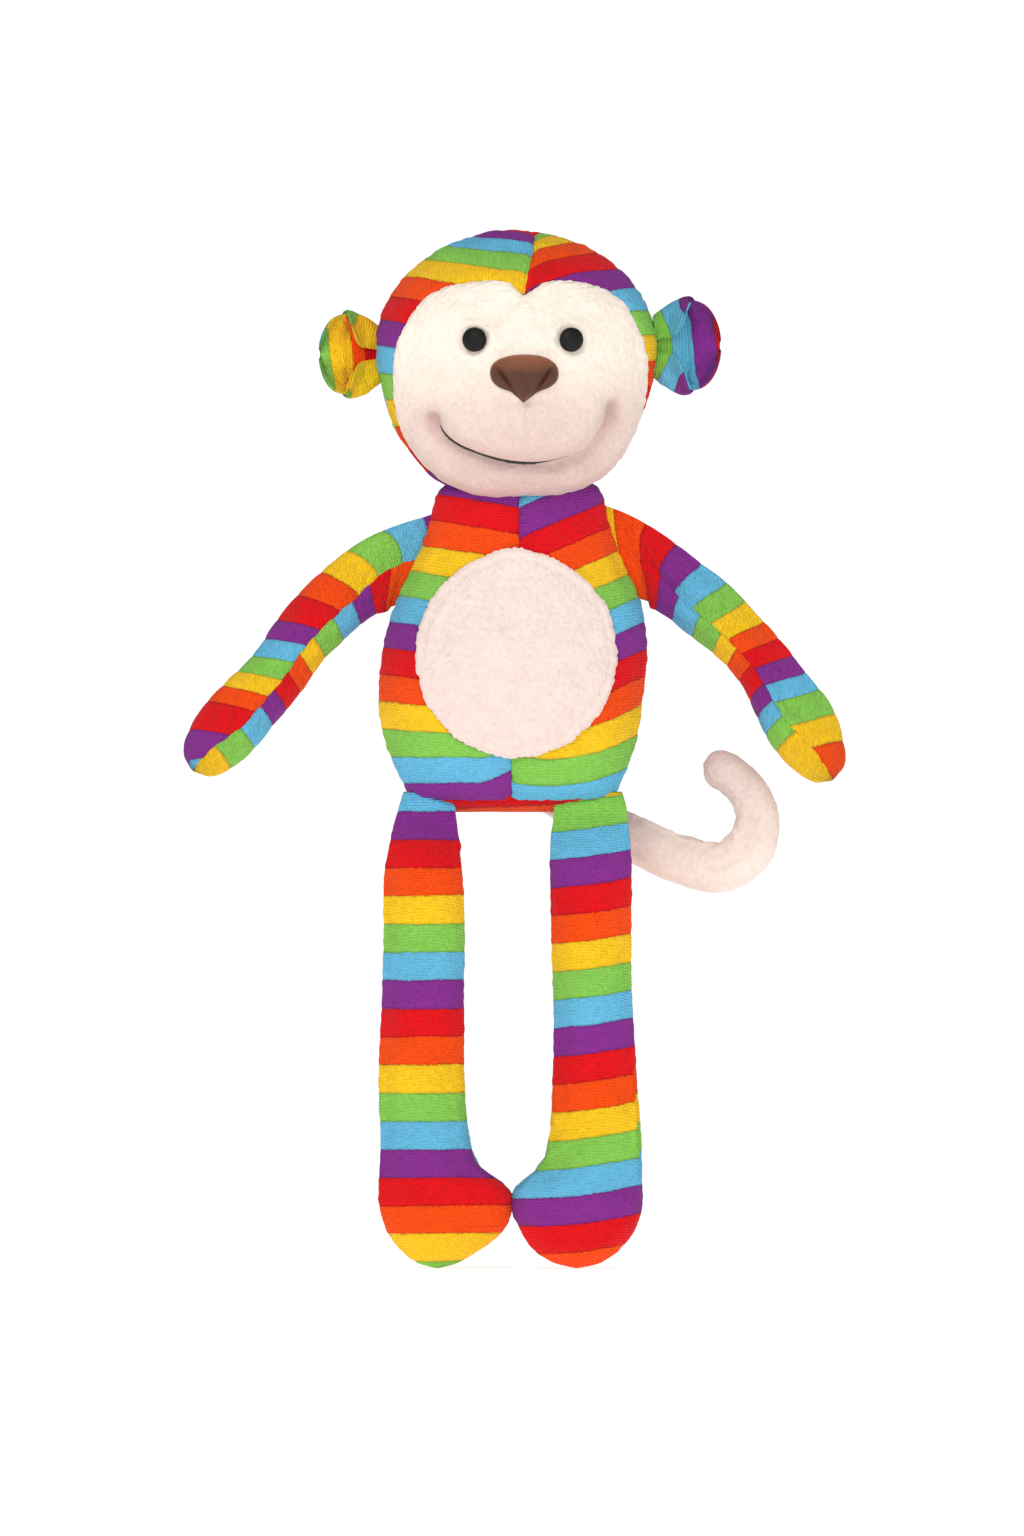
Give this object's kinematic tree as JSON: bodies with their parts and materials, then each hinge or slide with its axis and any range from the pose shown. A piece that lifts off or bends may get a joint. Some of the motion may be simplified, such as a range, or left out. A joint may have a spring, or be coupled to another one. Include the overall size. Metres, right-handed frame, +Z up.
{
  "type": "stuffed monkey",
  "caption": "Long-legged soft toy monkey in rainbow-striped knit with a cream plush face, belly and curled tail; head, ears, arms, legs and tail swing at their sewn seams.",
  "frame": {"origin": "middle of the flat underside of the seat, between the two hip seams and just behind them", "axes": "+Z up through the head, the face looks along -Y, the monkey's own left is +X"},
  "size_m": [0.2651, 0.0973, 0.4152],
  "materials": {
    "striped_knit": "matte",
    "cream_plush": "matte",
    "nose_satin": "satin",
    "eye_plastic": "satin",
    "washer_plastic": "satin",
    "filling": "matte",
    "black_thread": "satin",
    "white_thread": "satin"
  },
  "bodies": {
    "torso": {"torso_filling": "filling", "torso_front_left": "striped_knit", "torso_front_right": "striped_knit", "torso_back_left": "striped_knit", "torso_back_right": "striped_knit", "torso_base": "striped_knit", "belly_patch": "cream_plush"},
    "neck": {"neck_thread": "white_thread"},
    "head": {"head_filling": "filling", "face_panel": "cream_plush", "cap_left": "striped_knit", "cap_right": "striped_knit", "head_back_left": "striped_knit", "head_back_right": "striped_knit", "nose_cover": "nose_satin", "nose_padding": "filling", "mouth_thread": "black_thread", "eye_left": "eye_plastic", "eye_right": "eye_plastic", "eye_washer_left": "washer_plastic", "eye_washer_right": "washer_plastic"},
    "ear_left": {"ear_left_front": "striped_knit", "ear_left_back": "striped_knit", "ear_left_wadding": "filling"},
    "arm_left": {"arm_left_upper": "striped_knit", "arm_left_lower": "striped_knit", "arm_left_filling": "filling"},
    "leg_left": {"leg_left_front": "striped_knit", "leg_left_back": "striped_knit", "leg_left_filling": "filling"},
    "ear_right": {"ear_right_front": "striped_knit", "ear_right_back": "striped_knit", "ear_right_wadding": "filling"},
    "arm_right": {"arm_right_upper": "striped_knit", "arm_right_lower": "striped_knit", "arm_right_filling": "filling"},
    "leg_right": {"leg_right_front": "striped_knit", "leg_right_back": "striped_knit", "leg_right_filling": "filling"},
    "tail": {"tail_front": "cream_plush", "tail_back": "cream_plush", "tail_filling": "filling"}
  },
  "joints": [
    {"name": "head_turn", "type": "hinge", "parent": "torso", "child": "neck", "pos_m": [0.0012, 0, 0.1246], "axis": [0, 0, 1], "range_deg": [-30, 30], "stiffness_Nm_per_rad": 0.08},
    {"name": "head_nod", "type": "hinge", "parent": "neck", "child": "head", "pos_m": [0.0012, 0, 0.1246], "axis": [1, 0, 0], "range_deg": [-12, 14], "stiffness_Nm_per_rad": 0.15},
    {"name": "arm_left_swing", "type": "hinge", "parent": "torso", "child": "arm_left", "pos_m": [0.04577, 0, 0.10459], "axis": [0.4067, 0, -0.9135], "range_deg": [-50, 65], "stiffness_Nm_per_rad": 0.012},
    {"name": "arm_right_swing", "type": "hinge", "parent": "torso", "child": "arm_right", "pos_m": [-0.04273, 0, 0.10108], "axis": [0.3584, 0, 0.9336], "range_deg": [-50, 65], "stiffness_Nm_per_rad": 0.012},
    {"name": "leg_left_swing", "type": "hinge", "parent": "torso", "child": "leg_left", "pos_m": [0.0297, -0.021, 0.004], "axis": [-1, 0, 0], "range_deg": [-25, 90]},
    {"name": "leg_right_swing", "type": "hinge", "parent": "torso", "child": "leg_right", "pos_m": [-0.0355, -0.021, 0.004], "axis": [-1, 0, 0], "range_deg": [-25, 90]},
    {"name": "tail_wag", "type": "hinge", "parent": "torso", "child": "tail", "pos_m": [0.006, 0.031, 0.0086], "axis": [0, 0, 1], "range_deg": [0, 110], "stiffness_Nm_per_rad": 0.006},
    {"name": "ear_left_fold", "type": "hinge", "parent": "head", "child": "ear_left", "pos_m": [0.0576, -0.004, 0.1865], "axis": [0, 0, -1], "range_deg": [-40, 40], "stiffness_Nm_per_rad": 0.004},
    {"name": "ear_right_fold", "type": "hinge", "parent": "head", "child": "ear_right", "pos_m": [-0.0576, -0.004, 0.183], "axis": [0, 0, 1], "range_deg": [-40, 40], "stiffness_Nm_per_rad": 0.004}
  ]
}
